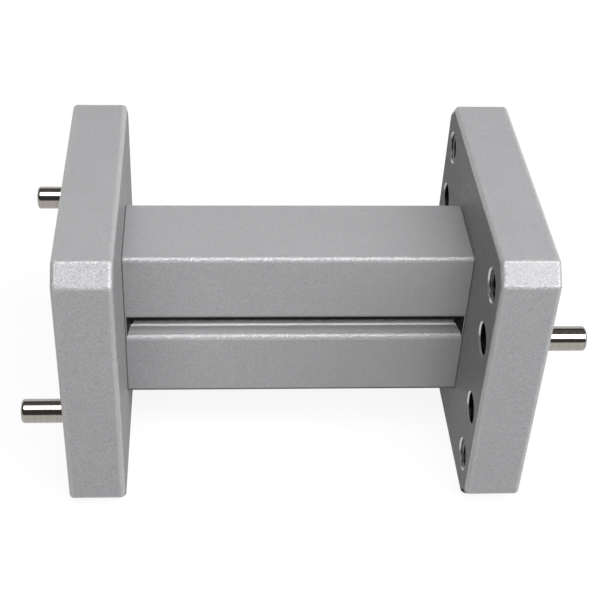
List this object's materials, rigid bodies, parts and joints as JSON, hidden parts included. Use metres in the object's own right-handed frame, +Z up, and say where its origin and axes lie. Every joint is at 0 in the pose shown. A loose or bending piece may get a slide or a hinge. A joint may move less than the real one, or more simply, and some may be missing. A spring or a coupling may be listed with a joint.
{
  "type": "waveguide attenuator",
  "caption": "Fixed attenuator: a ridged waveguide bar with long grooves between thick square flanges, with screw holes, dowel pins and a lossy card sealed in its channel.",
  "frame": {"origin": "under the middle of the part, on the surface that the lower edges of both flanges stand on", "axes": "+X along the waveguide from the left flange to the right one, +Y to the back, away from the groove with the card's seal, +Z up"},
  "size_m": [0.0684, 0.0382, 0.0381],
  "materials": {
    "grey_paint": "fine silver-grey metallic paint, satin, on machined aluminium",
    "dowel_steel": "ground stainless steel",
    "card_film": "matt black resistive film",
    "black_seal": "matt black sealing compound"
  },
  "bodies": {
    "root": {"waveguide_body": "grey_paint", "flange_left": "grey_paint", "flange_right": "grey_paint", "attenuator_card": "card_film", "slot_seal": "black_seal", "dowel_left_back": "dowel_steel", "dowel_left_front": "dowel_steel", "dowel_right_front": "dowel_steel", "dowel_right_back": "dowel_steel"}
  },
  "joints": []
}
